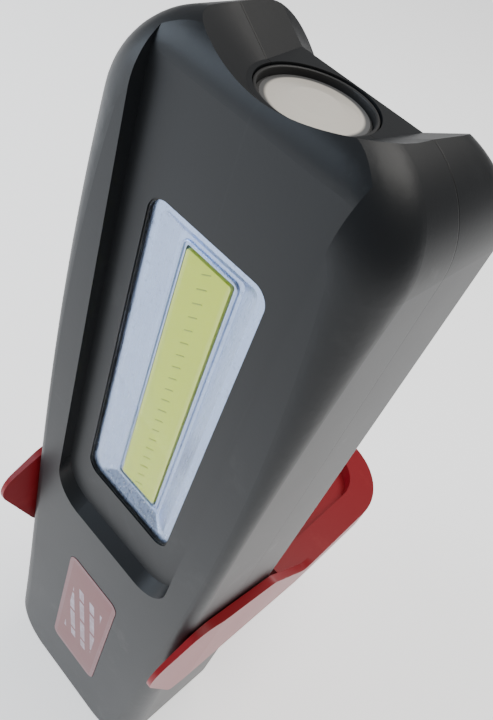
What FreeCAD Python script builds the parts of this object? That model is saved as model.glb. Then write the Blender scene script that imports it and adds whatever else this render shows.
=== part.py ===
import FreeCAD, Part
import math
import os
import re
import Sketcher

"""Rechargeable hand work light with a folding stand.

Frame: +Z runs from the tail face up to the head, -Y is the front (lamp) side and +X is to the
right of someone facing the lamp.  The origin is the centre of the flat tail face.  Millimetres.
"""

Vector = FreeCAD.Vector
doc = FreeCAD.newDocument("WorkLight")

# ---------------------------------------------------------------- driving sizes
SIZES = {
    # housing
    "body_length": 194.5, "head_width": 54.6, "tail_width": 51.8, "body_depth": 32.0,
    "front_depth": 16.0, "head_corner": 15.0, "tail_corner": 14.0, "wall": 2.2, "tail_wall": 2.4,
    "front_round": 5.0, "front_swell": 7.0, "front_crown": 10.0, "back_round": 2.0,
    "back_swell": 2.0, "back_crown": 12.0, "cavity_round": 3.0, "head_solid": 17.0,
    # recessed panel round the lamp window
    "panel_depth": 2.6, "panel_width": 42.3, "panel_start": 84.5, "panel_corner": 11.0,
    "panel_slope": 2.8, "panel_crown": 6.5,
    # lamp window and what sits behind it
    "window_width": 24.6, "window_length": 70.2, "window_start": 99.2, "window_corner": 3.0,
    "gasket": 0.3, "cover_sink": 0.1, "cover_thick": 0.8, "bezel_rim": 0.8, "bezel_lap": 2.5,
    "bezel_step": 0.03, "flange_thick": 0.6, "lamp_width": 9.8, "lamp_length": 59.3,
    "lamp_gap": 0.4, "phosphor": 0.8, "lamp_board": 1.0, "lamp_board_width": 14.0,
    "lamp_board_length": 68.0, "sink_width": 32.0, "sink_length": 62.0, "sink_shift": 3.0,
    "sink_plate": 2.0, "fin_height": 3.0, "fin_thick": 1.2, "fin_count": 6.0,
    # torch in the head end
    "torch_bore": 9.1, "torch_lens": 8.3, "lens_height": 9.5, "lens_sink": 0.6,
    "scoop_depth": 5.2, "scoop_round": 19.0, "scoop_back": 22.5, "scoop_foot": 13.0, "scoop_drop": 4.4, "torch_roof": 2.4,
    "torch_board_thick": 1.6, "holder_wall": 0.8, "fit_gap": 0.1,
    # battery, boards and switch
    "cell_radius": 9.2, "cell_length": 65.0, "cell_start": 9.6, "main_board_width": 30.0,
    "main_board_length": 66.0, "board_thick": 1.6, "board_back": 5.0, "button_radius": 4.3,
    "button_height": 138.0, "button_back": 5.5, "button_proud": 1.0, "button_travel": 0.6,
    "button_gap": 0.3,
    # screws
    "screw_radius": 1.0, "screw_head": 2.6, "screw_head_tall": 1.9, "screw_sink": 0.6,
    "post_radius": 3.1,
    # label
    "label_width": 17.6, "label_length": 45.4, "label_start": 22.0, "label_thick": 0.7,
    "label_sink": 0.6, "label_gap": 0.1, "label_corner": 2.4,
    # stand
    "pivot_height": 72.2, "pivot_back": 4.4, "pin_radius": 2.0, "pin_clear": 0.05,
    "bush_radius": 3.4, "stand_drop": 4.0, "stand_reach": 83.0, "stand_taper": 2.4,
    "stand_gap": 0.9, "stand_thick": 7.5, "cheek": 2.1, "cheek_gap": 0.1, "leg_start": 25.0,
    "leg_corner": 20.0, "tray_depth": 4.2, "tray_rim": 8.0, "tray_corner": 12.0,
    "lobe_reach": 29.5, "stand_round": 3.0, "magnet_radius": 7.0, "magnet_thick": 1.4, "magnet_cover": 0.6,
}

# Places worked out from the driving sizes, as formulas of them.
PLACES = {
    "front": "-body_depth/2", "back": "body_depth/2", "parting": "front+front_depth",
    "panel": "front+panel_depth", "panel_inner": "panel+wall",
    "cover_front": "panel+cover_sink", "bezel_front": "cover_front+cover_thick+0.03",
    "bezel_back": "panel_inner+flange_thick+bezel_step",
    "lamp_front": "bezel_back-phosphor", "board_front": "bezel_back",
    "sink_front": "board_front+lamp_board", "sink_back": "sink_front+sink_plate",
    "window_mid": "window_start+window_length/2", "scoop_floor": "body_length-scoop_depth",
    "torch_ceiling": "scoop_floor-torch_roof", "lens_top": "scoop_floor-lens_sink",
    "lens_base": "lens_top-lens_height", "torch_board_top": "lens_base-1",
    "torch_floor": "torch_board_top-torch_board_thick",
    "holder_radius": "torch_lens+fit_gap+holder_wall",
    "sink_low": "window_mid-sink_length/2+sink_shift", "sink_high": "sink_low+sink_length",
    "fin_pitch": "(sink_width-fin_thick)/(fin_count-1)",
    "cell_top": "cell_start+cell_length", "main_start": "panel_start+7",
    "flare": "(head_width-tail_width)/(2*body_length)",
    "side_at_pivot": "tail_width/2+flare*pivot_height",
    "side_at_button": "tail_width/2+flare*button_height",
    "switch_front": "-side_at_button+wall+button_gap+0.9+button_travel+fit_gap",
    "cheek_inner": "tail_width/2+flare*(pivot_height+leg_start+10)+cheek_gap",
    "cheek_outer": "cheek_inner+cheek", "rim_level": "back-pivot_back+stand_gap",
    "sole_level": "rim_level+stand_thick",
}

sheet = doc.addObject("Spreadsheet::Sheet", "Sizes")
for row, (name, value) in enumerate(SIZES.items(), start=1):
    sheet.set(f"A{row}", name)
    sheet.set(f"B{row}", str(value))
    sheet.setAlias(f"B{row}", name)
doc.recompute()


def spell(text):
    """Spell a formula out in spreadsheet cells."""
    def word(match):
        name = match.group()
        if name in PLACES:
            return "(" + spell(PLACES[name]) + ")"
        return "Sizes." + name if name in SIZES else name
    return re.sub(r"[a-z][a-z_]*", word, str(text))


def num(text):
    """The present value of a formula of the sizes."""
    return float(sheet.evalExpression(spell(text)))


# ---------------------------------------------------------------- modelling helpers
TURN = {
    "x": FreeCAD.Rotation(Vector(0, 1, 0), 90),
    "y": FreeCAD.Rotation(Vector(1, 0, 0), -90),
    "z": FreeCAD.Rotation(),
}
# Sketch planes: the sketch's own two directions become the two axes that name it.
PLANE = {
    "xz": FreeCAD.Rotation(Vector(1, 0, 0), 90),
    "xy": FreeCAD.Rotation(),
    "yz": FreeCAD.Rotation(Vector(1, 1, 1), 120),
}
NORMAL = {"xz": Vector(0, 1, 0), "xy": Vector(0, 0, 1), "yz": Vector(1, 0, 0)}


def bind(thing, prop, text):
    thing.setExpression(prop, spell(text))


def seat(thing, x, y, z):
    for letter, text in zip("xyz", (x, y, z)):
        bind(thing, f"Placement.Base.{letter}", text)


def box(name, x, y, z):
    """A block between pairs of formulas."""
    block = doc.addObject("Part::Box", name)
    for prop, (low, high) in zip(("Length", "Width", "Height"), (x, y, z)):
        bind(block, prop, f"({high})-({low})")
    seat(block, x[0], y[0], z[0])
    return block


def rod(name, radius, axis, centre, span):
    """A cylinder along an axis; centre gives the other two coordinates in X, Y, Z order."""
    round_bar = doc.addObject("Part::Cylinder", name)
    bind(round_bar, "Radius", radius)
    bind(round_bar, "Height", f"({span[1]})-({span[0]})")
    round_bar.Placement = FreeCAD.Placement(Vector(), TURN[axis])
    place = list(centre)
    place.insert("xyz".index(axis), span[0])
    seat(round_bar, *place)
    return round_bar


def corner(before, at, after, radius):
    """Start, middle and end of the arc that rounds one corner of an outline."""
    back = (before - at).normalize()
    ahead = (after - at).normalize()
    half = back.getAngle(ahead) / 2
    run = radius / math.tan(half)
    heart = at + (back + ahead).normalize() * (radius / math.sin(half))
    return at + back * run, heart + (at - heart).normalize() * radius, at + ahead * run


def outline(name, plane, points, level):
    """A closed sketch through points (a, b, corner radius), at a level along the plane's normal."""
    sketch = doc.addObject("Sketcher::SketchObject", name)
    spots = [Vector(num(a), num(b), 0) for a, b, r in points]
    arcs = []
    for i, (a, b, r) in enumerate(points):
        radius = num(r)
        if radius > 0:
            arcs.append(corner(spots[i - 1], spots[i], spots[(i + 1) % len(spots)], radius))
        else:
            arcs.append((spots[i], None, spots[i]))
    pieces = []
    for i, (start, middle, end) in enumerate(arcs):
        if middle is not None:
            pieces.append(Part.Arc(start, middle, end))
        following = arcs[(i + 1) % len(arcs)][0]
        if (following - end).Length > 1e-6:
            pieces.append(Part.LineSegment(end, following))
    sketch.addGeometry(pieces, False)
    sketch.Placement = FreeCAD.Placement(NORMAL[plane] * num(level), PLANE[plane])
    return sketch


def prism(name, plane, points, span):
    """An outline drawn out along the plane's normal."""
    solid = doc.addObject("Part::Extrusion", name)
    solid.Base = outline(name + "_outline", plane, points, span[0])
    solid.DirMode = "Custom"
    solid.Dir = NORMAL[plane]
    solid.Solid = True
    bind(solid, "LengthFwd", f"({span[1]})-({span[0]})")
    return solid


def slab(name, width, length, radius, low, span):
    """A prism with a rounded rectangle seen from the front, centred on X."""
    half = f"({width})/2"
    top = f"({low})+({length})"
    points = [(f"-{half}", low, radius), (half, low, radius),
              (half, top, radius), (f"-{half}", top, radius)]
    return prism(name, "xz", points, span)


def turned(name, axis, centre, points):
    """A solid of revolution: points are (radius, place along the axis, corner radius)."""
    solid = doc.addObject("Part::Revolution", name)
    solid.Source = outline(name + "_outline", "xz", points, "0")
    solid.Axis = Vector(0, 0, 1)
    solid.Base = Vector()
    solid.Angle = 360
    solid.Solid = True
    solid.Placement = FreeCAD.Placement(Vector(), TURN[axis])
    place = list(centre)
    place.insert("xyz".index(axis), "0")
    seat(solid, *place)
    return solid


def fuse(name, *things):
    union = doc.addObject("Part::MultiFuse", name)
    union.Shapes = list(things)
    return union


def cut(name, base, *tools):
    left = doc.addObject("Part::Cut", name)
    left.Base = base
    left.Tool = tools[0] if len(tools) == 1 else fuse(name + "_tools", *tools)
    return left


def overlap(name, base, tool):
    both = doc.addObject("Part::Common", name)
    both.Base = base
    both.Tool = tool
    return both


def group(name, things):
    """Separate solids kept as one sub-part."""
    together = doc.addObject("Part::Compound", name)
    together.Links = list(things)
    return together


def rounded(name, base, pick):
    """Fillet the edges for which pick(edge) gives a start and an end radius."""
    doc.recompute()
    chosen = []
    for index, edge in enumerate(base.Shape.Edges, start=1):
        radii = pick(edge)
        if radii:
            chosen.append((index, radii[0], radii[1]))
    fillet = doc.addObject("Part::Fillet", name)
    fillet.Base = base
    fillet.Edges = chosen
    return fillet


def lies_at(edge, axis, level):
    """Whether an edge lies in the plane where one coordinate has the given value."""
    bounds = edge.BoundBox
    low, high = getattr(bounds, axis + "Min"), getattr(bounds, axis + "Max")
    return abs(low - level) < 1e-4 and abs(high - level) < 1e-4


NODES = {}


def node(label, thing):
    """Name a finished sub-part."""
    thing.Label = label
    NODES[label] = thing
    return thing


# ---------------------------------------------------------------- housing form
def housing_outline(inset, top_inset, tail_inset):
    """The tapered outline seen from the front, moved in from the skin."""
    low, high = tail_inset, f"body_length-{top_inset}"
    low_half = f"(tail_width/2+flare*({low})-{inset})"
    high_half = f"(tail_width/2+flare*({high})-{inset})"
    return [(f"-{low_half}", low, f"tail_corner-{inset}"), (low_half, low, f"tail_corner-{inset}"),
            (high_half, high, f"head_corner-{inset}"), (f"-{high_half}", high, f"head_corner-{inset}")]


def soften(faces):
    """Edge picker: for each face level, a rounding that swells along the sides and again round the head."""
    def pick(edge):
        for level, tail, swell, crown in faces:
            if not lies_at(edge, "Y", num(level)):
                continue
            bounds = edge.BoundBox
            rises = edge.Vertexes[0].Point.z < edge.Vertexes[1].Point.z
            if bounds.ZLength > num("body_length/2"):
                ends = (num(tail), num(swell))
            elif bounds.Center.z < num("body_length/2"):
                return num(tail), num(tail)
            elif bounds.ZLength < 0.01:
                return num(crown), num(crown)
            else:
                ends = (num(swell), num(crown))
            return ends if rises else ends[::-1]
        return None
    return pick


block = prism("housing_block", "xz", housing_outline("0", "0", "0"), ("front", "back"))
form = rounded("housing_form", block, soften([
    ("front", "front_round", "front_swell", "front_crown"),
    ("back", "back_round", "back_swell", "back_crown")]))

# The panel's own face runs up and over the head, where it meets the housing's skin.
core_block = prism("panel_core_block", "xz", housing_outline("0", "0", "0"), ("panel", "parting"))
core = rounded("panel_core", core_block, soften([("panel", "1", "1", "panel_crown")]))


def panel_outline(name, narrower, level):
    """The panel's outline, open upwards past the head."""
    half = f"(panel_width/2-{narrower})"
    radius = f"panel_corner-{narrower}"
    low, top = f"panel_start+{narrower}", "body_length+5"
    return outline(name, "xz", [(f"-{half}", low, radius), (half, low, radius), (half, top, "0"),
                                (f"-{half}", top, "0")], level)


sunk = doc.addObject("Part::Loft", "panel_sunk")
sunk.Sections = [panel_outline("panel_wide", "0-panel_slope", "front-panel_depth"),
                 panel_outline("panel_narrow", "panel_slope", "panel")]
sunk.Solid = True
sunk.Ruled = True
sunk_deep = prism("panel_sunk_deep", "xz", [
    ("-(panel_width/2-panel_slope)", "panel_start+panel_slope", "panel_corner-panel_slope"),
    ("panel_width/2-panel_slope", "panel_start+panel_slope", "panel_corner-panel_slope"),
    ("panel_width/2-panel_slope", "body_length+5", "0"),
    ("-(panel_width/2-panel_slope)", "body_length+5", "0")], ("panel", "parting"))
skin = cut("housing_skin", form, cut("panel_waste", fuse("panel_tool", sunk, sunk_deep), core))

cavity_block = prism("cavity_block", "xz", housing_outline("wall", "head_solid", "tail_wall"),
                     ("front+wall", "back-wall"))
cavity = rounded("cavity", cavity_block, soften([
    ("front+wall", "cavity_round", "cavity_round", "cavity_round"),
    ("back-wall", "cavity_round", "cavity_round", "cavity_round")]))
panel_backing = box("panel_backing", ("-panel_width/2-wall", "panel_width/2+wall"),
                    ("front-1", "panel_inner"), ("panel_start-wall", "body_length"))
room = cut("housing_room", cavity, panel_backing)


def scoop_outline(name, reach, back_half, level):
    """A rounded front end about the torch, opening out towards the back."""
    sketch = doc.addObject("Sketcher::SketchObject", name)
    heart, rear = num("parting"), num("back+2")
    radius, half = num(reach), num(back_half)
    left, right = Vector(-radius, heart, 0), Vector(radius, heart, 0)
    rear_left, rear_right = Vector(-half, rear, 0), Vector(half, rear, 0)
    sketch.addGeometry([Part.Arc(left, Vector(0, heart - radius, 0), right),
                        Part.LineSegment(right, rear_right),
                        Part.LineSegment(rear_right, rear_left),
                        Part.LineSegment(rear_left, left)], False)
    sketch.Placement = FreeCAD.Placement(Vector(0, 0, num(level)), FreeCAD.Rotation())
    return sketch


scoop = doc.addObject("Part::Loft", "scoop")
scoop.Sections = [scoop_outline("scoop_low", "torch_bore+0.8", "scoop_foot", "scoop_floor"),
                  scoop_outline("scoop_high", "scoop_round", "scoop_back", "body_length+0.3")]
scoop.Solid = True
scoop.Ruled = True
# Behind the torch the floor of the scoop falls away towards the back.
FALL = [("scoop_foot-1.5", "scoop_back+1.7", "scoop_floor", "parting+torch_bore+0.3"),
        ("scoop_foot", "scoop_back+1.7", "scoop_floor-scoop_drop", "back+2")]
scoop_fall = doc.addObject("Part::Loft", "scoop_fall")
scoop_fall.Sections = [outline(f"scoop_fall_{i}", "xz", [
    (f"-({foot})", low, "0"), (foot, low, "0"), (top, "body_length+2", "0"),
    (f"-({top})", "body_length+2", "0")], level) for i, (foot, top, low, level) in enumerate(FALL)]
scoop_fall.Solid = True
scoop_fall.Ruled = True
bore = rod("torch_bore_hole", "torch_bore", "z", ("0", "parting"), ("torch_ceiling-1", "body_length+1"))
holder_room = rod("holder_room", "holder_radius+fit_gap", "z", ("0", "parting"),
                  ("torch_floor-fit_gap", "torch_ceiling"))
hollow = cut("housing_hollow", skin, room, scoop, scoop_fall, bore, holder_room)

WIDE = ("-head_width-tail_width", "head_width+tail_width")
TALL = ("-body_length", "2*body_length")
front_half = overlap("front_half", hollow, box("front_side", WIDE, ("front-1", "parting"), TALL))
rear_half = overlap("rear_half", hollow, box("rear_side", WIDE, ("parting", "back+1"), TALL))

# Screw posts: two at the tail, two between battery and lamp, two in the head.
POSTS = [("tail_width/2-wall-post_radius-1.2", "tail_corner", "front+wall-0.5"),
         ("tail_width/2-wall-post_radius-1.2", "panel_start+2", "panel+0.5"),
         ("head_width/2-9", "body_length-20.5", "panel+0.5")]
SPOTS = [(f"{side}({x})", z, foot) for x, z, foot in POSTS for side in ("-", "")]

front_posts, front_pilots, rear_posts, rear_holes, screws = [], [], [], [], []
for i, (x, z, foot) in enumerate(SPOTS):
    front_posts.append(rod(f"front_post_{i}", "post_radius-0.1", "y", (x, z), (foot, "parting")))
    front_pilots.append(rod(f"front_pilot_{i}", "screw_radius", "y", (x, z), ("parting-6", "parting+1")))
    rear_posts.append(rod(f"rear_post_{i}", "post_radius", "y", (x, z), ("parting", "back-wall+0.5")))
    rear_holes.append(rod(f"rear_hole_{i}", "screw_radius+0.4", "y", (x, z), ("parting-1", "back-1")))
    rear_holes.append(rod(f"rear_bore_{i}", "screw_head+0.3", "y", (x, z),
                          ("back-screw_sink-screw_head_tall", "back+1")))
    head = "back-screw_sink-screw_head_tall"
    screws.append(turned(f"case_screw_{i}", "y", (x, z), [
        ("0", "parting-5.5", "0"), ("screw_radius*0.4", "parting-5.5", "0"),
        ("screw_radius", "parting-4.5", "0"), ("screw_radius", head, "0"), ("screw_head", head, "0"),
        ("screw_head", "back-screw_sink-0.5", "0"), ("screw_head-0.6", "back-screw_sink", "0"),
        ("0.7", "back-screw_sink", "0"), ("0.7", "back-screw_sink-1.1", "0"),
        ("0", "back-screw_sink-1.1", "0")]))
node("case_screws", group("case_screw_set", screws))

# ---------------------------------------------------------------- front shell
window_hole = slab("window_hole", "window_width+2*gasket", "window_length+2*gasket",
                   "window_corner+gasket", "window_start-gasket", ("front-1", "panel_inner+1"))
label_pocket = slab("label_pocket", "label_width+2*label_gap", "label_length+2*label_gap",
                    "label_corner+label_gap", "label_start-label_gap",
                    ("front-1", "front+label_sink"))
node("front_shell", cut("front_shell_cut", fuse("front_shell_body", front_half, *front_posts),
                        window_hole, label_pocket, *front_pilots))

# ---------------------------------------------------------------- rear shell
saddles = []
for i, share in enumerate(("0.22", "0.78")):
    rib = box(f"saddle_{i}", ("-cell_radius-1.4", "cell_radius+1.4"), ("pivot_back+4", "back-wall+0.5"),
              (f"cell_start+cell_length*{share}-1", f"cell_start+cell_length*{share}+1"))
    saddles.append(rib)
stop_low = box("cell_stop_low", ("-cell_radius", "cell_radius"), ("parting+fit_gap", "7.4"),
               ("tail_wall-0.5", "tail_wall+1.6"))
stop_high = box("cell_stop_high", ("-cell_radius", "2.4"), ("pivot_back-3", "back-wall+0.5"),
                ("cell_top+1.6", "cell_top+3.2"))
cell_room = rod("cell_room", "cell_radius+0.2", "z", ("0", "pivot_back"), ("cell_start-1", "cell_top+1"))
BOARD_SPOTS = [(f"{side}(main_board_width/2-3.5)", f"main_start+{up}") for up in ("4", "main_board_length-4")
               for side in ("-", "")]
board_posts = [rod(f"board_post_{i}", "2.4", "y", spot, ("board_back+board_thick", "back-wall+0.5"))
               for i, spot in enumerate(BOARD_SPOTS)]
board_pilots = [rod(f"board_pilot_{i}", "0.8", "y", spot, ("board_back", "board_back+board_thick+4.5"))
                for i, spot in enumerate(BOARD_SPOTS)]
pivot_hole = rod("pivot_hole", "bush_radius", "x", ("pivot_back", "pivot_height"), WIDE)
button_hole = rod("button_hole", "button_radius+button_gap", "x", ("button_back", "button_height"),
                  ("-head_width", "-head_width/4"))
port_hole = box("port_hole", ("-4.2", "4.2"), ("back-wall-5.2", "back-wall-1.4"), ("-1", "tail_wall+1"))
switch_rib = box("switch_rib", ("switch_front+5.3", "switch_front+6.5"), ("6", "back-wall+0.5"),
                 ("button_height-7", "button_height+7"))
rear_body = fuse("rear_shell_body", rear_half, *rear_posts, *board_posts, stop_high, stop_low,
                 switch_rib, *saddles)
node("rear_shell", cut("rear_shell_cut", rear_body, cell_room, pivot_hole, button_hole, port_hole,
                       *rear_holes, *board_pilots))

# ---------------------------------------------------------------- lamp
node("window_cover", slab("window_cover_plate", "window_width", "window_length", "window_corner",
                          "window_start", ("cover_front", "cover_front+cover_thick")))
node("window_gasket", cut("window_gasket_ring", slab(
    "gasket_outer", "window_width+2*gasket", "window_length+2*gasket", "window_corner+gasket",
    "window_start-gasket", ("cover_front+0.2", "panel_inner")),
    slab("gasket_inner", "window_width", "window_length", "window_corner", "window_start",
         ("front-1", "panel_inner+1"))))

bezel_body = fuse("bezel_body", slab("bezel_face", "window_width", "window_length", "window_corner",
                                     "window_start", ("bezel_front", "bezel_back")),
                  slab("bezel_flange", "window_width+2*bezel_lap", "window_length+2*bezel_lap",
                       "window_corner+bezel_lap", "window_start-bezel_lap",
                       ("panel_inner", "panel_inner+flange_thick")))


def flare_outline(name, width, length, radius, level):
    """A rounded rectangle centred on the window."""
    low = f"window_mid-({length})/2"
    top = f"window_mid+({length})/2"
    return outline(name, "xz", [(f"-({width})/2", low, radius), (f"({width})/2", low, radius),
                                (f"({width})/2", top, radius), (f"-({width})/2", top, radius)], level)


flare = doc.addObject("Part::Loft", "reflector_flare")
flare.Sections = [
    flare_outline("flare_mouth", "window_width-2*bezel_rim", "window_length-2*bezel_rim", "1.6",
                  "bezel_front-0.5"),
    flare_outline("flare_throat", "lamp_width+2*lamp_gap+3.4", "lamp_length+2*lamp_gap+3.4", "1.0",
                  "bezel_back-0.5")]
flare.Solid = True
flare.Ruled = True
slot = slab("lamp_slot", "lamp_width+2*lamp_gap", "lamp_length+2*lamp_gap", "0.6",
            "window_mid-lamp_length/2-lamp_gap", ("front", "bezel_back+1"))
lamp_screw_spots = [(f"{side}(fin_pitch*(fin_count/2-1))", z) for z in ("sink_low+5", "sink_high-5")
                    for side in ("-", "")]
bezel_posts = [rod(f"bezel_post_{i}", "1.9", "y", spot, ("panel_inner+flange_thick-0.2", "sink_front"))
               for i, spot in enumerate(lamp_screw_spots)]
bezel_pilots = [rod(f"bezel_pilot_{i}", "0.8", "y", spot, ("panel_inner+0.4", "sink_front+1"))
                for i, spot in enumerate(lamp_screw_spots)]
node("lamp_bezel", cut("lamp_bezel_cut", fuse("bezel_with_posts", bezel_body, *bezel_posts),
                       flare, slot, *bezel_pilots))

node("lamp_strip", slab("lamp_strip_block", "lamp_width", "lamp_length", "0.5",
                        "window_mid-lamp_length/2", ("lamp_front", "board_front")))
node("lamp_board", slab("lamp_board_plate", "lamp_board_width", "lamp_board_length", "1.0",
                        "window_mid-lamp_board_length/2", ("board_front", "sink_front")))
fins = []
for i in range(int(num("fin_count"))):
    middle = f"fin_pitch*({i}-(fin_count-1)/2)"
    fins.append(box(f"fin_{i}", (f"{middle}-fin_thick/2", f"{middle}+fin_thick/2"),
                    ("sink_back-0.2", "sink_back+fin_height"), ("sink_low", "sink_high")))
sink_base = box("sink_base", ("-sink_width/2", "sink_width/2"), ("sink_front", "sink_back"),
                ("sink_low", "sink_high"))
sink_holes = [rod(f"sink_hole_{i}", "1.1", "y", spot, ("sink_front-1", "sink_back+1"))
              for i, spot in enumerate(lamp_screw_spots)]
node("heat_sink", cut("heat_sink_cut", fuse("heat_sink_body", sink_base, *fins), *sink_holes))
node("lamp_screws", group("lamp_screw_set", [turned(f"lamp_screw_{i}", "y", spot, [
    ("0", "panel_inner+0.5", "0"), ("0.8", "panel_inner+0.5", "0"), ("0.8", "sink_back", "0"),
    ("1.9", "sink_back", "0"), ("1.6", "sink_back+1.3", "0"), ("0", "sink_back+1.3", "0")])
    for i, spot in enumerate(lamp_screw_spots)]))

# ---------------------------------------------------------------- torch
node("torch_lens", turned("torch_lens_body", "z", ("0", "parting"), [
    ("0", "lens_base+3.6", "0"), ("2.4", "lens_base+3.2", "0"), ("2.8", "lens_base", "0"),
    ("3.6", "lens_base", "0"), ("torch_lens-0.5", "lens_top-2.2", "0"), ("torch_lens", "lens_top-2.2", "0"),
    ("torch_lens", "lens_top-0.9", "0"), ("torch_lens-0.5", "lens_top-0.6", "0"),
    ("torch_lens*0.82", "lens_top-0.6", "0"), ("torch_lens*0.45", "lens_top-0.1", "3"),
    ("0", "lens_top", "0")]))
node("lens_holder", turned("lens_holder_body", "z", ("0", "parting"), [
    ("torch_lens+fit_gap", "torch_board_top", "0"), ("holder_radius", "torch_board_top", "0"),
    ("holder_radius", "torch_ceiling-fit_gap", "0"), ("torch_bore-0.15", "torch_ceiling-fit_gap", "0"),
    ("torch_bore-0.15", "lens_top+0.3", "0.2"), ("torch_lens+fit_gap", "lens_top+0.3", "0.2")]))
node("torch_board", rod("torch_board_disc", "holder_radius", "z", ("0", "parting"),
                        ("torch_floor", "torch_board_top")))
led_base = box("led_base", ("-1.75", "1.75"), ("parting-1.75", "parting+1.75"),
               ("torch_board_top", "lens_base+0.1"))
led_dome = rod("led_dome", "1.4", "z", ("0", "parting"), ("lens_base", "lens_base+1.6"))
node("torch_led", fuse("torch_led_body", led_base, led_dome))

# ---------------------------------------------------------------- battery and electronics
node("battery_cell", rounded("battery_cell_body", turned("cell_blank", "z", ("0", "pivot_back"), [
    ("0", "cell_start", "0"), ("cell_radius", "cell_start", "0"), ("cell_radius", "cell_top-0.8", "0"),
    ("3.2", "cell_top-0.8", "0"), ("3.2", "cell_top", "0"), ("0", "cell_top", "0")]),
    lambda edge: (0.8, 0.8) if abs(edge.BoundBox.XLength - num("2*cell_radius")) < 0.01
    and edge.BoundBox.ZLength < 0.01 else None))
node("cell_tab", box("cell_tab_plate", ("-5", "5"), ("pivot_back-3", "pivot_back+5"), ("cell_top", "cell_top+0.5")))
spring_coil = doc.addObject("Part::Helix", "spring_coil")
bind(spring_coil, "Radius", "3.2")
bind(spring_coil, "Pitch", "1.6")
bind(spring_coil, "Height", "cell_start-tail_wall-1.6-1.6")
seat(spring_coil, "0", "pivot_back", "tail_wall+1.6+1.0")
spring_section = doc.addObject("Part::Circle", "spring_section")
bind(spring_section, "Radius", "0.45")
spring_section.Placement = FreeCAD.Placement(Vector(), FreeCAD.Rotation(Vector(1, 0, 0), 90))
seat(spring_section, "3.2", "pivot_back", "tail_wall+1.6+1.0")
cell_spring = doc.addObject("Part::Sweep", "cell_spring_wire")
cell_spring.Sections = [spring_section]
cell_spring.Spine = (spring_coil, [])
cell_spring.Solid = True
cell_spring.Frenet = True
node("cell_spring", cell_spring)
node("spring_plate", box("spring_plate_body", ("-5", "5"), ("-3.8", "7"), ("tail_wall+1.6", "tail_wall+2.1")))

main_board_y = ("board_back", "board_back+board_thick")
board_plate = box("board_plate", ("-main_board_width/2", "main_board_width/2"), main_board_y,
                  ("main_start", "main_start+main_board_length"))
board_holes = [rod(f"board_hole_{i}", "1.2", "y", spot, ("board_back-1", "board_back+board_thick+1"))
               for i, spot in enumerate(BOARD_SPOTS)]
node("main_board", cut("main_board_body", board_plate, *board_holes))
CHIPS = [("-8", "18", "4", "5", "1.6"), ("5", "20", "5", "5", "1.2"), ("-3", "36", "6", "8", "3.0"),
         ("7", "44", "4", "3", "1.0"), ("-9", "52", "3", "3", "1.4")]
node("board_chips", group("board_chip_set", [
    box(f"chip_{i}", (f"{x}-{w}/2", f"{x}+{w}/2"), (f"board_back-{tall}", "board_back"),
        (f"main_start+{z}-{deep}/2", f"main_start+{z}+{deep}/2"))
    for i, (x, z, w, deep, tall) in enumerate(CHIPS)]))
node("board_screws", group("board_screw_set", [turned(f"board_screw_{i}", "y", spot, [
    ("0", "board_back-1.2", "0"), ("1.7", "board_back-1.2", "0"), ("1.9", "board_back", "0"),
    ("0.8", "board_back", "0"), ("0.8", "board_back+board_thick+4", "0"),
    ("0", "board_back+board_thick+4.4", "0")]) for i, spot in enumerate(BOARD_SPOTS)]))

port_shell = box("port_shell", ("-3.9", "3.9"), ("back-wall-4.8", "back-wall-1.8"), ("0.8", "tail_wall+3.6"))
port_inside = box("port_inside", ("-3.4", "3.4"), ("back-wall-4.3", "back-wall-2.3"), ("0", "tail_wall+2.8"))
port_tongue = box("port_tongue", ("-2.4", "2.4"), ("back-wall-3.6", "back-wall-3.0"), ("1.4", "tail_wall+3"))
node("charge_socket", fuse("charge_socket_body", cut("port_tube", port_shell, port_inside), port_tongue))
node("socket_board", box("socket_board_plate", ("-7", "7"), ("back-wall-1.8", "back-wall-0.8"),
                         ("tail_wall+1.4", "tail_wall+7")))

# ---------------------------------------------------------------- power button and its switch
BUTTON = ("button_back", "button_height")
node("power_button", turned("power_button_body", "x", BUTTON, [
    ("0", "-side_at_button-button_proud", "0"), ("button_radius-0.2", "-side_at_button-button_proud", "0.8"),
    ("button_radius", "-side_at_button+wall+button_gap", "0"),
    ("button_radius+1.3", "-side_at_button+wall+button_gap", "0"),
    ("button_radius+1.3", "-side_at_button+wall+button_gap+0.9", "0"),
    ("0", "-side_at_button+wall+button_gap+0.9", "0")]))
plunger = rod("switch_plunger", "1.7", "x", BUTTON, ("switch_front", "switch_front+0.9"))
switch_case = box("switch_case", ("switch_front+0.8", "switch_front+4"),
                  ("button_back-3", "button_back+3"), ("button_height-3", "button_height+3"))
node("tact_switch", fuse("tact_switch_body", plunger, switch_case))
node("switch_board", box("switch_board_plate", ("switch_front+4", "switch_front+5.2"),
                         ("button_back-5", "button_back+6"), ("button_height-8", "button_height+8")))

# ---------------------------------------------------------------- label
node("label_plate", slab("label_plate_body", "label_width", "label_length", "label_corner", "label_start",
                         ("front+label_sink-label_thick", "front+label_sink")))


# ---------------------------------------------------------------- leads
def lead(name, points, radius, bend):
    """A wire along straight runs joined by arcs."""
    spots = [Vector(*(num(c) for c in point)) for point in points]
    edges, start = [], spots[0]
    for i in range(1, len(spots) - 1):
        enter, middle, leave = corner(spots[i - 1], spots[i], spots[i + 1], bend)
        edges += [Part.LineSegment(start, enter).toShape(), Part.Arc(enter, middle, leave).toShape()]
        start = leave
    edges.append(Part.LineSegment(start, spots[-1]).toShape())
    path = Part.Wire(edges)
    section = Part.Wire(Part.makeCircle(radius, spots[0], spots[1] - spots[0]))
    wire = doc.addObject("Part::Feature", name)
    wire.Shape = path.makePipeShell([section], True, False)
    return wire


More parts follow.
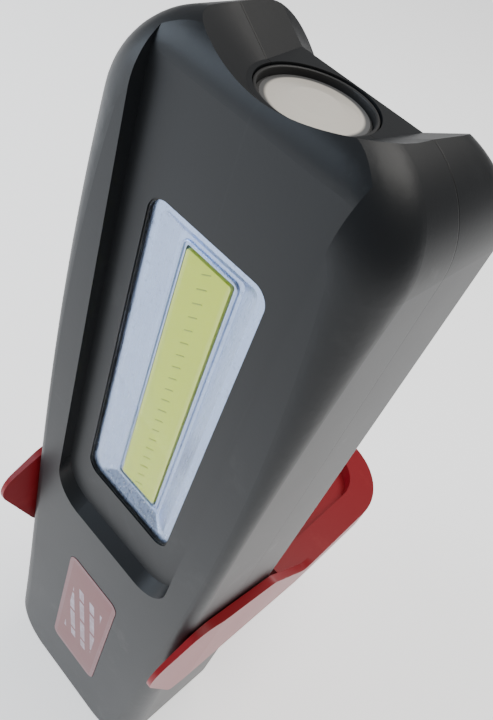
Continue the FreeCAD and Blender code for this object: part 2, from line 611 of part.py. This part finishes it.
LEAD, BEND = 0.55, 3.0
node("lamp_leads", group("lamp_lead_pair", [
    rod(f"lamp_lead_{i}", str(LEAD), "y", (x, "sink_low-3"), ("sink_front", "board_back"))
    for i, x in enumerate(("-2.5", "2.5"))]))
node("torch_leads", group("torch_lead_pair", [
    lead(f"torch_lead_{i}", [(x, "board_back", "main_start+main_board_length-2"),
                             (x, "parting+1", "main_start+main_board_length-2"),
                             (x, "parting+1", "torch_floor")], LEAD, BEND)
    for i, x in enumerate(("-2.5", "2.5"))]))
lead_y = "board_back+board_thick/2"
deep_y = "back-wall-3.2"
node("battery_leads", group("battery_lead_pair", [
    lead("battery_lead_plus", [("3.5", lead_y, "main_start"), ("3.5", lead_y, "main_start-5"),
                               ("3.5", "pivot_back+4.4", "cell_top+9"), ("3.5", "pivot_back+4.4", "cell_top+0.5")],
         LEAD, BEND),
    lead("battery_lead_minus", [("-6", lead_y, "main_start"), ("-6", lead_y, "main_start-5"),
                                ("-12.5", deep_y, "main_start-13"), ("-12.5", deep_y, "tail_wall+4"),
                                ("-4.5", "6.2", "tail_wall+4")], LEAD, BEND)]))

# ---------------------------------------------------------------- pivot
PIVOT = ("pivot_back", "pivot_height")
PIVOT_RINGS = {
    "pivot_bushes": [("pin_radius+pin_clear", "side_at_pivot-wall-1.3", "0"),
                     ("bush_radius+1.6", "side_at_pivot-wall-1.3", "0"),
                     ("bush_radius+1.6", "side_at_pivot-wall-0.1", "0"),
                     ("bush_radius", "side_at_pivot-wall-0.1", "0"),
                     ("bush_radius", "side_at_pivot+0.05", "0"),
                     ("pin_radius+pin_clear", "side_at_pivot+0.05", "0")],
    "friction_washers": [("pin_radius+0.15", "side_at_pivot+0.05", "0"),
                         ("bush_radius+1.4", "side_at_pivot+0.05", "0"),
                         ("bush_radius+1.4", "cheek_inner-0.05", "0"),
                         ("pin_radius+0.15", "cheek_inner-0.05", "0")],
    "pivot_pins": [("0", "side_at_pivot-wall-2", "0"), ("pin_radius-0.4", "side_at_pivot-wall-2", "0"),
                   ("pin_radius", "side_at_pivot-wall-1.5", "0"), ("pin_radius", "cheek_outer-1", "0"),
                   ("0", "cheek_outer-1", "0")],
}
for label, points in PIVOT_RINGS.items():
    mirrored = [(r, f"-({x})", c) for r, x, c in points]
    node(label, group(label + "_pair", [turned(f"{label}_{side}", "x", PIVOT, shape)
                                        for side, shape in (("right", points), ("left", mirrored))]))

# ---------------------------------------------------------------- stand
# Drawn with the pivot at the origin and the leg along +Y, then turned down and moved to the pivot.
LOW, RIM = "-sole_level", "-rim_level"
cheek_points = [
    ("stand_reach", LOW, "3"), ("stand_reach", RIM, "1"), ("leg_start+8", RIM, "10"),
    ("9", "6.5", "9"), ("-lobe_reach*0.6", "13.6", "8"), ("-lobe_reach-1", "4.5", "6"), ("-15.5", LOW, "8")]
cheeks = [prism(f"cheek_{i}", "yz", cheek_points, span)
          for i, span in enumerate((("-cheek_outer", "-cheek_inner"), ("cheek_inner", "cheek_outer")))]
leg = box("leg_plate", ("-cheek_outer", "cheek_outer"), ("leg_start", "stand_reach"), (LOW, RIM))
tip = "cheek_outer-cheek*0.55"
plan = prism("stand_plan", "xy", [
    ("-(cheek_outer-stand_taper)", "stand_reach", "leg_corner"),
    ("cheek_outer-stand_taper", "stand_reach", "leg_corner"),
    ("cheek_outer", "leg_start+5", "0"), ("cheek_outer", "-11", "4"), (tip, "-lobe_reach-1", "0"), (f"-({tip})", "-lobe_reach-1", "0"),
    ("-cheek_outer", "-11", "4"), ("-cheek_outer", "leg_start+5", "0")], ("-sole_level-1", "20"))
blank = overlap("stand_blank", fuse("stand_union", leg, *cheeks), plan)


section = prism("stand_section", "xz", [
    ("-cheek_outer", LOW, "stand_round"), ("cheek_outer", LOW, "stand_round"),
    ("cheek_outer", "20", "0"), ("-cheek_outer", "20", "0")], ("-lobe_reach-5", "stand_reach+5"))
softened = overlap("stand_softened", blank, section)
tray = prism("tray", "xy", [
    ("-(cheek_outer-tray_rim)", "leg_start+7", "5"), ("cheek_outer-tray_rim", "leg_start+7", "5"),
    ("cheek_outer-stand_taper-tray_rim", "stand_reach-tray_rim", "tray_corner"),
    ("-(cheek_outer-stand_taper-tray_rim)", "stand_reach-tray_rim", "tray_corner")],
    ("-rim_level-tray_depth", "-rim_level+1"))
pin_holes = rod("pin_holes", "pin_radius", "x", ("0", "0"), ("-cheek_outer+1", "cheek_outer-1"))
magnet_spots = [("-13", "stand_reach-22"), ("13", "stand_reach-22")]
magnet_pocket = prism("magnet_pocket", "xy", [
    ("-22", "stand_reach-31", "8"), ("22", "stand_reach-31", "8"), ("22", "stand_reach-13", "8"),
    ("-22", "stand_reach-13", "8")], ("-sole_level-1", "-sole_level+magnet_cover"))
magnet_wells = [rod(f"magnet_well_{i}", "magnet_radius", "z", spot,
                    ("-sole_level-1", "-sole_level+magnet_cover+magnet_thick"))
                for i, spot in enumerate(magnet_spots)]
stand_place = FreeCAD.Placement(Vector(0, num("pivot_back"), num("pivot_height")),
                                FreeCAD.Rotation(Vector(1, 0, 0), -num("stand_drop")))


def stand_node(label, thing):
    """A sub-part that turns with the stand."""
    holder = doc.addObject("Part::Compound", label + "_placed") if thing.TypeId == "Part::Cylinder" else thing
    if holder is not thing:
        holder.Links = [thing]
    holder.Placement = stand_place
    return node(label, holder)


stand_node("stand_cradle", cut("stand_cradle_body", softened, tray, pin_holes, magnet_pocket, *magnet_wells))
stand_node("stand_magnets", group("stand_magnet_pair", [
    rod(f"magnet_{i}", "magnet_radius-0.1", "z", spot,
        ("-sole_level+magnet_cover", "-sole_level+magnet_cover+magnet_thick"))
    for i, spot in enumerate(magnet_spots)]))
stand_node("magnet_cover", prism("magnet_cover_plate", "xy", [
    ("-21.85", "stand_reach-30.85", "7.85"), ("21.85", "stand_reach-30.85", "7.85"),
    ("21.85", "stand_reach-13.15", "7.85"), ("-21.85", "stand_reach-13.15", "7.85")],
    ("-sole_level", "-sole_level+magnet_cover")))

# ---------------------------------------------------------------- check and write
doc.recompute()
for thing in doc.Objects:
    if "Invalid" in thing.State or "Error" in thing.State:
        raise SystemExit(f"{thing.Name} failed: {thing.State}")
for label, thing in NODES.items():
    if thing.Shape.isNull() or not thing.Shape.isValid():
        raise SystemExit(f"{label} has no valid shape")

os.makedirs("parts", exist_ok=True)
for label, thing in NODES.items():
    thing.Shape.exportStep(f"parts/{label}.step")
    print(f"{label}: {len(thing.Shape.Solids)} solid(s), {thing.Shape.Volume:.1f} mm3")
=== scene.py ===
"""Looks of a hand work light: black housing, lamp window, torch and red folding stand."""

import math

import bmesh
import bpy
from mathutils import Matrix, Vector


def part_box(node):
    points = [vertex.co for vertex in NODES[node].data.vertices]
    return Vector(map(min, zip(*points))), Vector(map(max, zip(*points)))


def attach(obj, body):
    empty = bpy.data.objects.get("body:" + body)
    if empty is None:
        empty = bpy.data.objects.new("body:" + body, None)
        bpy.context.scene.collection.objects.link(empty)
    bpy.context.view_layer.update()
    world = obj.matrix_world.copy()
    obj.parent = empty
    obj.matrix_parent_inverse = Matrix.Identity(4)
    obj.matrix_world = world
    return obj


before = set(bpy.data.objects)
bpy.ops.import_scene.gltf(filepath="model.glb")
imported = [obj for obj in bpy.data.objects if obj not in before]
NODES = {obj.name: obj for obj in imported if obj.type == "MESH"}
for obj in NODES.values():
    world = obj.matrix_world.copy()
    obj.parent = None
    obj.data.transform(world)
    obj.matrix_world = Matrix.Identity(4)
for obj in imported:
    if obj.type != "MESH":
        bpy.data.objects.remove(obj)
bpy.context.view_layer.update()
MM = 0.001


# ---------------------------------------------------------------- shader maths
class Wire:
    """A shader socket that takes part in Python sums and products."""

    def __init__(self, paint, socket):
        self.paint, self.socket = paint, socket

    def _math(self, operation, first, second=None):
        values = [first] if second is None else [first, second]
        return self.paint.add("ShaderNodeMath", {"operation": operation}, dict(enumerate(values)))

    def __add__(self, other): return self._math("ADD", self, other)
    def __radd__(self, other): return self._math("ADD", other, self)
    def __sub__(self, other): return self._math("SUBTRACT", self, other)
    def __rsub__(self, other): return self._math("SUBTRACT", other, self)
    def __mul__(self, other): return self._math("MULTIPLY", self, other)
    def __rmul__(self, other): return self._math("MULTIPLY", other, self)
    def __truediv__(self, other): return self._math("DIVIDE", self, other)
    def power(self, other): return self._math("POWER", self, other)
    def absolute(self): return self._math("ABSOLUTE", self)
    def fraction(self): return self._math("FRACT", self)
    def least(self, other): return self._math("MINIMUM", self, other)


class Paint:
    """One material: its nodes, and the patterns that several finishes share."""

    def __init__(self, name, colour, roughness, **fixed):
        self.material = bpy.data.materials.new(name)
        self.material.use_nodes = True
        self.tree = self.material.node_tree
        self.shader = self.tree.nodes["Principled BSDF"]
        self.shader.inputs["Base Color"].default_value = (*colour, 1)
        self.shader.inputs["Roughness"].default_value = roughness
        for socket, value in fixed.items():
            self.shader.inputs[socket.replace("_", " ")].default_value = value
        self.place = self.add("ShaderNodeTexCoord", {}, {}, "Object")

    def add(self, kind, settings, inputs, output=0):
        """A node of a kind, with its settings made first and then its sockets filled or linked."""
        node = self.tree.nodes.new(kind)
        for key, value in settings.items():
            setattr(node, key, value)
        for key, value in inputs.items():
            if isinstance(value, Wire):
                self.tree.links.new(value.socket, node.inputs[key])
            else:
                node.inputs[key].default_value = value
        return Wire(self, node.outputs[output])

    def feed(self, socket, value):
        self.tree.links.new(value.socket, self.shader.inputs[socket])

    def noise(self, scale, detail=3.0, rough=0.55, place=None):
        return self.add("ShaderNodeTexNoise", {}, {
            "Vector": place or self.place, "Scale": scale, "Detail": detail, "Roughness": rough})

    def stretched(self, x, y, z):
        """The place, stretched by a factor along each axis."""
        return self.add("ShaderNodeMapping", {}, {"Vector": self.place, "Scale": (x, y, z)})

    def axes(self):
        """The place as its three numbers, in millimetres."""
        split = self.add("ShaderNodeSeparateXYZ", {}, {"Vector": self.place})
        return [Wire(self, socket) * 1000.0 for socket in split.socket.node.outputs]

    def step(self, value, low, high):
        """0 below low, 1 above high, smooth between."""
        return self.add("ShaderNodeMapRange", {"interpolation_type": "SMOOTHSTEP"}, {
            "Value": value, "From Min": low, "From Max": high, "To Min": 0.0, "To Max": 1.0})

    def range(self, value, low, high):
        """A 0 to 1 value spread over low to high."""
        return value * (high - low) + low

    def mix(self, mask, first, second):
        """Blend of two colours, given as numbers or wires."""
        ready = [c if isinstance(c, Wire) else (*c, 1) for c in (first, second)]
        return self.add("ShaderNodeMix", {"data_type": "RGBA"}, {0: mask, 6: ready[0], 7: ready[1]}, 2)

    def bump(self, height, strength, distance, under=None):
        inputs = {"Height": height, "Strength": strength, "Distance": distance}
        if under:
            inputs["Normal"] = under
        return self.add("ShaderNodeBump", {}, inputs)


def moulded(name, colour, worn, roughness, grain=900.0, depth=0.15, rubbing=0.35, **fixed):
    """Moulded plastic: fine grain, slow colour drift, rubbed patches and a few hair scratches."""
    paint = Paint(name, colour, roughness, **fixed)
    drift = paint.noise(18.0, 4.0)
    rub = paint.step(paint.noise(55.0, 6.0, 0.7), 0.56, 0.74)
    scratch = paint.step(paint.noise(1.0, 2.0, 0.5, paint.stretched(900, 900, 25)), 0.70, 0.74)
    worn_mask = rub * rubbing + drift * 0.12 + scratch * (rubbing * 0.3)
    paint.worn = worn_mask
    paint.feed("Base Color", paint.mix(worn_mask, colour, worn))
    paint.feed("Roughness", paint.range(drift, roughness - 0.05, roughness + 0.07) - rub * 0.06)
    texture = paint.noise(grain, 3.0) * 0.6 + paint.noise(grain * 1.6, 2.0) * 0.4 - scratch * 0.3
    paint.feed("Normal", paint.bump(texture, depth, 0.00008))
    return paint


def cast(name, colour, dull, roughness, speckle, depth, **fixed):
    """Bare or painted metal: blotches, speckle and a fine drawn grain along the length."""
    paint = Paint(name, colour, roughness, **fixed)
    blotch = paint.noise(90.0, 5.0, 0.65)
    grain = paint.noise(1.0, 4.0, 0.6, paint.stretched(2600, 2600, 160))
    fleck = paint.step(paint.noise(speckle, 2.0), 0.60, 0.70)
    paint.feed("Base Color", paint.mix(blotch * 0.4 + fleck * 0.35, colour, dull))
    paint.feed("Roughness", paint.range(grain, roughness - 0.06, roughness + 0.1) + fleck * 0.08)
    paint.feed("Normal", paint.bump(grain * 0.5 + fleck * 0.5, depth, 0.00006))
    return paint


def housing_plastic():
    """Black housing plastic, with the moulded seam between its two halves at Y = 0."""
    black, rubbed = (0.0060, 0.0072, 0.0090), (0.026, 0.028, 0.030)
    paint = moulded("black_housing", black, rubbed, 0.40, 1400.0, 0.20, 0.30, Specular_IOR_Level=0.30)
    x, y, z = paint.axes()
    seam = 1.0 - paint.step(y.absolute(), 0.06, 0.16)
    tone = paint.mix(paint.worn, black, rubbed)
    paint.feed("Base Color", paint.mix(seam, tone, (0.002, 0.002, 0.002)))
    grain = paint.noise(1400.0, 3.0) * 0.25 + paint.noise(2300.0, 2.0) * 0.15 - seam * 2.0
    paint.feed("Normal", paint.bump(grain, 0.35, 0.00009))
    return paint.material


def phosphor():
    """Silicone over the rows of diodes: yellow green, paler at the rim, dimpled."""
    paint = Paint("lamp_phosphor", (0.52, 0.60, 0.10), 0.36, Coat_Weight=0.3, Coat_Roughness=0.25,
                  Subsurface_Weight=0.1)
    x, y, z = paint.axes()
    rim = paint.step(x.absolute(), 3.9, 4.8)
    cloud = paint.noise(160.0, 5.0, 0.6)
    body = paint.mix(cloud * 0.6, (0.56, 0.68, 0.015), (0.72, 0.80, 0.04))
    paint.feed("Base Color", paint.mix(rim * 0.7, body, (0.70, 0.78, 0.16)))
    paint.feed("Roughness", paint.range(cloud, 0.3, 0.46))
    paint.feed("Normal", paint.bump(paint.noise(900.0, 3.0), 0.25, 0.0001))
    return paint.material


def label_print(low, high):
    """Dusty red label with a pale frame line and three slanted bars, meant only as a plain pattern."""
    paint = Paint("red_label", (0.36, 0.055, 0.06), 0.38, Coat_Weight=0.25, Coat_Roughness=0.3)
    x, y, z = paint.axes()
    middle = (low[2] + high[2]) * 500
    along = (z - middle).absolute()
    slant = x + (z - middle) * 0.22
    bars = paint.step(1.0 - ((slant / 4.2 + 0.5).fraction() - 0.5).absolute() * 2.0, 0.52, 0.60)
    field = (1.0 - paint.step(x.absolute(), 5.4, 5.7)) * (1.0 - paint.step(along, 12.2, 12.6))
    broken = 1.0 - paint.step(((z - middle) / 8.4).fraction(), 0.86, 0.90)
    frame_line = paint.step(x.absolute(), 7.5, 7.6) + paint.step(along, 21.3, 21.4)
    worn = paint.step(paint.noise(420.0, 4.0, 0.7), 0.40, 0.62)
    mask = (bars * field * broken * 0.8 + frame_line.least(1.0) * 0.10) * (worn * 0.35 + 0.55)
    dust = paint.noise(70.0, 5.0, 0.7)
    ground = paint.mix(dust * 0.7, (0.13, 0.006, 0.009), (0.20, 0.018, 0.022))
    paint.feed("Base Color", paint.mix(mask, ground, (0.50, 0.46, 0.56)))
    paint.feed("Roughness", paint.range(dust, 0.3, 0.48))
    paint.feed("Normal", paint.bump(mask + paint.noise(1500.0, 2.0) * 0.2, 0.2, 0.00005))
    return paint.material


def torch_face():
    """Torch lens: creamy diffusing face inside a grey glassy rim, with faint rings."""
    paint = Paint("torch_cream", (0.72, 0.67, 0.60), 0.25, Coat_Weight=0.6, Coat_Roughness=0.08)
    x, y, z = paint.axes()
    radius = (x * x + y * y).power(0.5)
    rim = paint.step(radius, 6.7, 7.3)
    ring = paint.step((radius * 1.6).fraction(), 0.2, 0.8)
    cloud = paint.noise(120.0, 4.0, 0.6)
    face = paint.mix(cloud * 0.5, (0.76, 0.71, 0.63), (0.66, 0.61, 0.55))
    paint.feed("Base Color", paint.mix(rim, face, (0.10, 0.10, 0.10)))
    paint.feed("Roughness", paint.range(cloud, 0.18, 0.3))
    paint.feed("Normal", paint.bump(ring * 0.5 + cloud * 0.3, 0.15, 0.0001))
    return paint.material


def circuit():
    """Green solder mask with copper runs showing through."""
    paint = Paint("circuit_green", (0.01, 0.09, 0.035), 0.32, Coat_Weight=0.4)
    x, y, z = paint.axes()
    runs = paint.step(((x / 1.9).fraction() - 0.5).absolute(), 0.36, 0.40)
    gaps = paint.step(paint.noise(1.0, 1.0, 0.5, paint.stretched(520, 520, 60)), 0.48, 0.52)
    paint.feed("Base Color", paint.mix(runs * gaps, (0.01, 0.085, 0.03), (0.03, 0.17, 0.07)))
    paint.feed("Roughness", paint.range(paint.noise(200.0), 0.28, 0.42))
    paint.feed("Normal", paint.bump(runs * gaps, 0.2, 0.00004))
    return paint.material


def clear_cover():
    """Thin clear window: nearly invisible, with a little dust and fine wiping marks."""
    paint = Paint("clear_cover", (0.96, 0.98, 1.0), 0.05, Transmission_Weight=1.0, IOR=1.15)
    dust = paint.step(paint.noise(700.0, 5.0, 0.7), 0.62, 0.78)
    wipe = paint.noise(1.0, 3.0, 0.6, paint.stretched(120, 120, 14))
    paint.feed("Roughness", paint.range(wipe, 0.02, 0.07) + dust * 0.12)
    paint.feed("Alpha", dust * 0.06 + 0.04)
    paint.feed("Normal", paint.bump(wipe, 0.05, 0.00005))
    return paint.material


BLACK = housing_plastic()
RED = moulded("red_stand", (0.26, 0.006, 0.012), (0.34, 0.030, 0.032), 0.34, 700.0, 0.08, 0.45,
              Specular_IOR_Level=0.35).material
RUBBER = moulded("black_rubber", (0.012, 0.012, 0.012), (0.03, 0.03, 0.03), 0.6, 1100.0, 0.3).material
MATT = moulded("chip_plastic", (0.015, 0.015, 0.016), (0.04, 0.04, 0.04), 0.5, 1300.0, 0.2).material
CELL = moulded("cell_wrap", (0.02, 0.08, 0.30), (0.05, 0.12, 0.36), 0.25, 500.0, 0.05).material
NYLON = moulded("nylon_bush", (0.70, 0.68, 0.62), (0.60, 0.57, 0.5), 0.4, 900.0, 0.1).material
WIRES = moulded("wire_cover", (0.42, 0.02, 0.02), (0.3, 0.02, 0.02), 0.4, 900.0, 0.1).material
SILVER = cast("silver_bezel", (0.42, 0.52, 0.74), (0.22, 0.28, 0.42), 0.26, 1500.0, 0.30,
              Metallic=0.9).material
STEEL = cast("screw_steel", (0.34, 0.34, 0.35), (0.18, 0.17, 0.16), 0.32, 1800.0, 0.2, Metallic=1.0).material
NICKEL = cast("nickel_plate", (0.60, 0.58, 0.54), (0.44, 0.42, 0.38), 0.26, 1500.0, 0.15,
              Metallic=1.0).material
ALLOY = cast("sink_aluminium", (0.62, 0.63, 0.65), (0.45, 0.46, 0.48), 0.36, 1500.0, 0.25,
             Metallic=1.0).material
YELLOW, CREAM, GREEN, CLEAR = phosphor(), torch_face(), circuit(), clear_cover()
LABEL = label_print(*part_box("label_plate"))

FINISH = {
    BLACK: ("front_shell", "rear_shell"), RED: ("stand_cradle",), CLEAR: ("window_cover",),
    SILVER: ("lamp_bezel",), YELLOW: ("lamp_strip", "torch_led"), LABEL: ("label_plate",),
    CREAM: ("torch_lens",), ALLOY: ("heat_sink",), CELL: ("battery_cell",), NYLON: ("pivot_bushes",),
    GREEN: ("lamp_board", "torch_board", "main_board", "socket_board", "switch_board"),
    RUBBER: ("window_gasket", "power_button", "magnet_cover", "friction_washers"),
    MATT: ("lens_holder", "board_chips", "tact_switch"),
    WIRES: ("lamp_leads", "torch_leads", "battery_leads"),
    NICKEL: ("cell_tab", "cell_spring", "spring_plate", "charge_socket", "stand_magnets"),
    STEEL: ("case_screws", "lamp_screws", "board_screws", "pivot_pins"),
}
for material, names in FINISH.items():
    for name in names:
        NODES[name].data.materials.clear()
        NODES[name].data.materials.append(material)

# Edges that a moulding tool leaves slightly round.
for name, width in (("stand_cradle", 0.7), ("front_shell", 0.25), ("lamp_bezel", 0.15), ("label_plate", 0.12),
                    ("magnet_cover", 0.15)):
    bevel = NODES[name].modifiers.new("eased_edges", "BEVEL")
    bevel.width, bevel.segments, bevel.limit_method, bevel.angle_limit = width * MM, 2, "ANGLE", 0.6
    bevel.harden_normals = True


# ---------------------------------------------------------------- pieces
def piece(name, mesh, material, body):
    """A finished mesh as a named piece that rides on a body."""
    mesh.materials.clear()
    mesh.materials.append(material)
    thing = bpy.data.objects.new(name, mesh)
    bpy.context.scene.collection.objects.link(thing)
    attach(thing, body)
    return thing


def rounded_loop(half_x, low, high, radius, steps=8):
    """Points of a rounded rectangle in X and Z, anticlockwise seen from the front."""
    points = []
    for cx, cz, start in ((half_x - radius, high - radius, 0), (radius - half_x, high - radius, 90),
                          (radius - half_x, low + radius, 180), (half_x - radius, low + radius, 270)):
        for i in range(steps + 1):
            turn = math.radians(start + 90 * i / steps)
            points.append((cx + radius * math.cos(turn), cz + radius * math.sin(turn)))
    return points


def swept_frame(name, half_x, low, high, radius, profile):
    """A closed moulding round a rounded rectangle; profile is (outward offset, Y) pairs in mm."""
    form = bmesh.new()
    rings = [[form.verts.new((x * MM, y * MM, z * MM)) for x, z in
              rounded_loop(half_x + out, low - out, high + out, radius + out)] for out, y in profile]
    count = len(rings[0])
    for first, second in zip(rings, rings[1:] + rings[:1]):
        for i in range(count):
            j = (i + 1) % count
            form.faces.new((first[i], first[j], second[j], second[i]))
    bmesh.ops.recalc_face_normals(form, faces=form.faces)
    for face in form.faces:
        face.smooth = True
    mesh = bpy.data.meshes.new(name)
    form.to_mesh(mesh)
    form.free()
    return mesh


strip_low, strip_high = (Vector(corner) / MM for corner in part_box("lamp_strip"))
ledge = strip_low.y + 0.3
ridge = [(0.0, ledge), (0.05, ledge - 0.25), (0.16, ledge - 0.36), (0.30, ledge - 0.36), (0.42, ledge - 0.25),
         (0.47, ledge)]
RIDGE_GAP = 0.85
piece("bezel_ridge", swept_frame("bezel_ridge", strip_high.x + RIDGE_GAP, strip_low.z - RIDGE_GAP,
                                 strip_high.z + RIDGE_GAP, 0.9, ridge), SILVER, "housing")


def grown(name, base, build, material, body):
    """Runs a node tree over a base mesh and keeps the result as a piece."""
    group = bpy.data.node_groups.new(name, "GeometryNodeTree")
    group.interface.new_socket("Geometry", in_out="INPUT", socket_type="NodeSocketGeometry")
    group.interface.new_socket("Geometry", in_out="OUTPUT", socket_type="NodeSocketGeometry")

    def add(kind, settings=None, values=None):
        fresh = group.nodes.new(kind)
        for key, value in (settings or {}).items():
            setattr(fresh, key, value)
        for key, value in (values or {}).items():
            if isinstance(value, bpy.types.NodeSocket):
                group.links.new(value, fresh.inputs[key])
            else:
                fresh.inputs[key].default_value = value
        return fresh

    start, end = add("NodeGroupInput"), add("NodeGroupOutput")
    made = build(add, start.outputs[0])
    real = add("GeometryNodeRealizeInstances", values={0: made})
    finish = add("GeometryNodeSetMaterial", values={"Geometry": real.outputs[0], "Material": material})
    group.links.new(finish.outputs[0], end.inputs[0])
    host = bpy.data.objects.new(name + "_host", base)
    bpy.context.scene.collection.objects.link(host)
    modifier = host.modifiers.new(name, "NODES")
    modifier.node_group = group
    mesh = bpy.data.meshes.new_from_object(host.evaluated_get(bpy.context.evaluated_depsgraph_get()))
    host.modifiers.remove(modifier)
    bpy.data.objects.remove(host)
    mesh.name = name
    return piece(name, mesh, material, body)


def spots(name, places):
    """A mesh of loose points, in mm."""
    mesh = bpy.data.meshes.new(name)
    mesh.from_pydata([tuple(Vector(p) * MM) for p in places], [], [])
    return mesh


def diode_ticks(add, points):
    """Small slanted ridges, each a short round bar with flat ends, one at every point."""
    bar = add("GeometryNodeMeshCylinder", values={"Vertices": 10, "Side Segments": 3, "Radius": 0.00011,
                                                  "Depth": 0.0022})
    turned = add("GeometryNodeTransform", values={"Geometry": bar.outputs[0],
                                                  "Rotation": (0.0, math.radians(58), 0.0)})
    size = add("FunctionNodeRandomValue", {"data_type": "FLOAT"}, {"Min": 0.85, "Max": 1.0, "Seed": 4})
    return add("GeometryNodeInstanceOnPoints", values={
        "Points": points, "Instance": turned.outputs[0], "Scale": size.outputs[1]}).outputs[0]


ROWS = 20
pitch = (strip_high.z - strip_low.z) / ROWS
diode_spots = [(0, strip_low.y, strip_low.z + pitch * (i + 0.5)) for i in range(ROWS)]
SILICONE = moulded("tick_silicone", (0.30, 0.36, 0.05), (0.4, 0.45, 0.1), 0.4, 900.0, 0.1).material
grown("diode_ticks", spots("diode_spots", diode_spots), diode_ticks, SILICONE, "housing")

button_low, button_high = (Vector(corner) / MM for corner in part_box("power_button"))
button_mid = (button_low + button_high) / 2


def grip_dots(add, points):
    """Low domes moulded into the rubber, one at every point."""
    dome = add("GeometryNodeMeshUVSphere", values={"Segments": 16, "Rings": 10, "Radius": 0.00038})
    flat = add("GeometryNodeTransform", values={"Geometry": dome.outputs[0], "Scale": (0.45, 1.0, 1.0)})
    return add("GeometryNodeInstanceOnPoints", values={"Points": points, "Instance": flat.outputs[0]}).outputs[0]


DOT_SINK = 0.18
DOT_RINGS = ((0.0, 1), (1.3, 6), (2.6, 12))
dots = [(button_low.x + DOT_SINK, button_mid.y + reach * math.cos(math.tau * i / count),
         button_mid.z + reach * math.sin(math.tau * i / count))
        for reach, count in DOT_RINGS for i in range(count)]
grown("button_grip_dots", spots("grip_spots", dots), grip_dots, RUBBER, "button")

# ---------------------------------------------------------------- stage, light and camera
bpy.ops.mesh.primitive_plane_add(size=6, location=(0, 0, -0.0005))
floor = bpy.context.object
floor.name = "floor"
pale = Paint("pale_floor", (0.92, 0.92, 0.92), 0.85, Emission_Color=(1, 1, 1, 1), Emission_Strength=0.95)
pale.feed("Roughness", pale.range(pale.noise(6.0), 0.8, 0.9))
floor.data.materials.append(pale.material)

world = bpy.data.worlds.new("studio")
bpy.context.scene.world = world
world.use_nodes = True
world.node_tree.nodes["Background"].inputs["Color"].default_value = (1, 1, 1, 1)
world.node_tree.nodes["Background"].inputs["Strength"].default_value = 0.30


def softbox(name, place, target, size, power, colour=(1, 1, 1)):
    light = bpy.data.lights.new(name, "AREA")
    light.shape, light.size, light.size_y = "RECTANGLE", *size
    light.energy, light.color = power, colour
    lamp = bpy.data.objects.new(name, light)
    lamp.location = place
    lamp.rotation_euler = (Vector(target) - Vector(place)).to_track_quat("-Z", "Y").to_euler()
    bpy.context.scene.collection.objects.link(lamp)


softbox("left_window", (-0.55, -0.40, 0.40), (0, 0, 0.1), (0.6, 0.5), 5, (0.74, 0.86, 1))
softbox("roof_light", (0.10, 0.25, 0.75), (0, 0, 0.15), (0.5, 0.5), 4, (1, 0.97, 0.92))

camera = bpy.data.objects.new("camera", bpy.data.cameras.new("camera"))
bpy.context.scene.collection.objects.link(camera)
bpy.context.scene.camera = camera
camera.data.sensor_width = 36
camera.data.lens = 35.73
camera.data.clip_start = 0.005
right, down, ahead = (Vector(v) for v in ((0.6739, 0.6829, 0.2820), (0.6526, -0.3716, -0.6615),
                                          (-0.3465, 0.6292, -0.6950)))
camera.matrix_world = Matrix.Translation(Vector((48.54, -78.12, 228.98)) * MM) @ Matrix((
    (right.x, -down.x, -ahead.x, 0), (right.y, -down.y, -ahead.y, 0), (right.z, -down.z, -ahead.z, 0),
    (0, 0, 0, 1))).to_quaternion().to_matrix().to_4x4()
